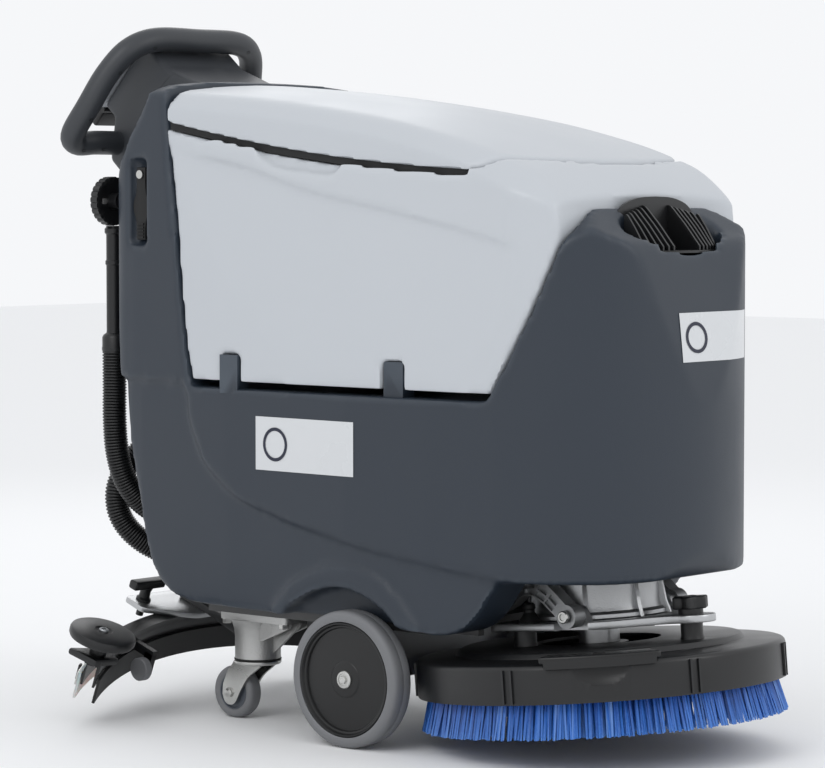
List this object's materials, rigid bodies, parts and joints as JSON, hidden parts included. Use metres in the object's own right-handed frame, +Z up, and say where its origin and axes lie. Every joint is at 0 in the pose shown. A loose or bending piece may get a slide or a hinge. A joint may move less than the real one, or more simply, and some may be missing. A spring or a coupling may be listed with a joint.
{
  "type": "floor scrubber machine",
  "caption": "Walk-behind floor scrubber: slate body, pale upper tank and lid, front disc brush deck, curved rear squeegee, hand loop and drain hose.",
  "frame": {"origin": "middle of the machine's plan box, at floor level", "axes": "+X forward, towards the brush; +Y to the machine's left; +Z up"},
  "size_m": [1.2344, 0.762, 1.0634],
  "materials": {
    "slate": "fine textured",
    "pale_grey": "satin",
    "black_plastic": "satin",
    "steel": "zinc plated",
    "rubber": "matte",
    "black_steel": "satin",
    "cast_aluminium": "cast",
    "tyre_grey": "matte",
    "grip_grey": "satin",
    "blue_bristle": "bristle tufts",
    "clear_rubber": "translucent satin",
    "red_plastic": "gloss",
    "green_plastic": "gloss"
  },
  "bodies": {
    "chassis": {"lower_body": "slate", "filler_grille": "black_plastic", "battery_left": "black_plastic", "battery_right": "black_plastic", "vacuum_motor": "steel", "rear_cover": "black_plastic", "base_frame": "black_steel", "transaxle": "cast_aluminium", "caster_housing_left": "cast_aluminium", "caster_housing_right": "cast_aluminium", "console_neck": "grip_grey", "console_panel": "pale_grey", "handle_loop": "grip_grey", "drain_cap": "black_plastic", "drain_tube": "black_plastic", "drain_hose": "rubber", "vacuum_hose": "rubber"},
    "latch": {"latch_strap": "rubber"},
    "tank": {"recovery_tank": "pale_grey", "float_cage": "black_plastic", "lid_seal": "rubber"},
    "lid": {"tank_lid": "pale_grey"},
    "deck_arms": {"deck_arm_left": "cast_aluminium", "deck_arm_right": "cast_aluminium", "deck_cross_shaft": "steel"},
    "deck": {"deck_plate": "cast_aluminium", "motor_housing": "cast_aluminium", "deck_cover": "black_plastic", "deck_bumper_left": "black_plastic", "deck_bumper_right": "black_plastic", "deck_stop": "rubber"},
    "knob": {"deck_knob": "black_plastic"},
    "brush": {"brush_disc": "black_plastic", "bristles": "blue_bristle"},
    "squeegee_lifter": {"squeegee_arm": "steel", "suction_port": "black_plastic"},
    "squeegee_head": {"squeegee_plate": "cast_aluminium", "squeegee_body": "black_plastic", "front_blade": "rubber", "rear_blade": "clear_rubber", "blade_strap": "steel"},
    "paddle": {"drive_paddle": "black_plastic"},
    "key": {"key_switch": "red_plastic"},
    "button": {"start_button": "green_plastic"},
    "drive_wheel_left": {"drive_tyre_left": "tyre_grey", "drive_hub_left": "black_plastic"},
    "caster_left": {"caster_fork_left": "steel"},
    "caster_wheel_left": {"caster_tyre_left": "tyre_grey", "caster_hub_left": "tyre_grey"},
    "roller_left": {"bumper_roller_left": "black_plastic"},
    "mount_knob_left": {"squeegee_knob_left": "black_plastic"},
    "support_left": {"support_wheel_left": "tyre_grey"},
    "drive_wheel_right": {"drive_tyre_right": "tyre_grey", "drive_hub_right": "black_plastic"},
    "caster_right": {"caster_fork_right": "steel"},
    "caster_wheel_right": {"caster_tyre_right": "tyre_grey", "caster_hub_right": "tyre_grey"},
    "roller_right": {"bumper_roller_right": "black_plastic"},
    "mount_knob_right": {"squeegee_knob_right": "black_plastic"},
    "support_right": {"support_wheel_right": "tyre_grey"}
  },
  "joints": [
    {"name": "drive_wheel_spin_left", "type": "hinge", "parent": "chassis", "child": "drive_wheel_left", "pos_m": [0.07613, 0.242, 0.1], "axis": [0, 1, 0], "continuous": true},
    {"name": "caster_swivel_left", "type": "hinge", "parent": "chassis", "child": "caster_left", "pos_m": [-0.19987, 0.143, 0.09], "axis": [0, 0, 1], "continuous": true},
    {"name": "caster_wheel_spin_left", "type": "hinge", "parent": "caster_left", "child": "caster_wheel_left", "pos_m": [-0.24187, 0.143, 0.04], "axis": [0, 1, 0], "continuous": true},
    {"name": "drive_wheel_spin_right", "type": "hinge", "parent": "chassis", "child": "drive_wheel_right", "pos_m": [0.07613, -0.242, 0.1], "axis": [0, 1, 0], "continuous": true},
    {"name": "caster_swivel_right", "type": "hinge", "parent": "chassis", "child": "caster_right", "pos_m": [-0.19987, -0.143, 0.09], "axis": [0, 0, 1], "continuous": true},
    {"name": "caster_wheel_spin_right", "type": "hinge", "parent": "caster_right", "child": "caster_wheel_right", "pos_m": [-0.24187, -0.143, 0.04], "axis": [0, 1, 0], "continuous": true},
    {"name": "tank_tilt", "type": "hinge", "parent": "chassis", "child": "tank", "pos_m": [0, 0.25, 0.52], "axis": [-1, 0, 0], "range_deg": [0, 80]},
    {"name": "lid_hinge", "type": "hinge", "parent": "tank", "child": "lid", "pos_m": [0, 0.236, 0.873], "axis": [-1, 0, 0], "range_deg": [0, 80]},
    {"name": "deck_lift", "type": "hinge", "parent": "chassis", "child": "deck_arms", "pos_m": [0.21613, 0, 0.196], "axis": [0, 1, 0], "range_deg": [0, 14.9]},
    {"name": "deck_level", "type": "hinge", "parent": "deck_arms", "child": "deck", "pos_m": [0.38625, 0, 0.205], "axis": [0, 1, 0], "range_deg": [-9.8, 0]},
    {"name": "brush_spin", "type": "hinge", "parent": "deck", "child": "brush", "pos_m": [0.35325, 0, 0.0405], "axis": [-0.0899, 0, 0.9959], "continuous": true},
    {"name": "deck_knob_turn", "type": "hinge", "parent": "deck", "child": "knob", "pos_m": [0.5042, 0, 0.2138], "axis": [-0.0899, 0, 0.9959], "continuous": true},
    {"name": "squeegee_lift", "type": "hinge", "parent": "chassis", "child": "squeegee_lifter", "pos_m": [-0.24687, 0, 0.142], "axis": [0, -1, 0], "range_deg": [0, 20.5]},
    {"name": "squeegee_swing", "type": "hinge", "parent": "squeegee_lifter", "child": "squeegee_head", "pos_m": [-0.4491, 0, 0.138], "axis": [0.3502, 0, 0.9367], "range_deg": [-5, 5]},
    {"name": "bumper_roller_spin_left", "type": "hinge", "parent": "squeegee_head", "child": "roller_left", "pos_m": [-0.3495, 0.33, 0.127], "axis": [0.3502, 0, 0.9367], "continuous": true},
    {"name": "mount_knob_turn_left", "type": "hinge", "parent": "squeegee_head", "child": "mount_knob_left", "pos_m": [-0.4775, 0.11, 0.159], "axis": [0.3502, 0, 0.9367], "continuous": true},
    {"name": "support_wheel_spin_left", "type": "hinge", "parent": "squeegee_head", "child": "support_left", "pos_m": [-0.3813, 0.2123, 0.0684], "axis": [0, 1, 0], "continuous": true},
    {"name": "bumper_roller_spin_right", "type": "hinge", "parent": "squeegee_head", "child": "roller_right", "pos_m": [-0.3495, -0.33, 0.127], "axis": [0.3502, 0, 0.9367], "continuous": true},
    {"name": "mount_knob_turn_right", "type": "hinge", "parent": "squeegee_head", "child": "mount_knob_right", "pos_m": [-0.4775, -0.11, 0.159], "axis": [0.3502, 0, 0.9367], "continuous": true},
    {"name": "support_wheel_spin_right", "type": "hinge", "parent": "squeegee_head", "child": "support_right", "pos_m": [-0.3813, -0.2123, 0.0684], "axis": [0, 1, 0], "continuous": true},
    {"name": "paddle_press", "type": "hinge", "parent": "chassis", "child": "paddle", "pos_m": [-0.5913, 0, 0.9365], "axis": [0, 1, 0], "range_deg": [0, 12], "stiffness_Nm_per_rad": 2, "springref_deg": -5.73},
    {"name": "key_turn", "type": "hinge", "parent": "chassis", "child": "key", "pos_m": [-0.5641, -0.06, 0.9608], "axis": [-0.7431, 0, 0.6691], "range_deg": [0, 90]},
    {"name": "start_press", "type": "slide", "parent": "chassis", "child": "button", "axis": [0.7431, 0, -0.6691], "range_m": [0, 0.003], "stiffness_N_per_m": 400, "springref_m": -0.001},
    {"name": "latch_pull", "type": "hinge", "parent": "chassis", "child": "latch", "pos_m": [-0.3719, -0.2063, 0.843], "axis": [-1, 0, 0], "range_deg": [0, 50], "stiffness_Nm_per_rad": 0.6, "springref_deg": -2.86}
  ],
  "couplings": [
    {"joint": "deck_level", "follows": "deck_lift", "ratio": -0.654}
  ]
}
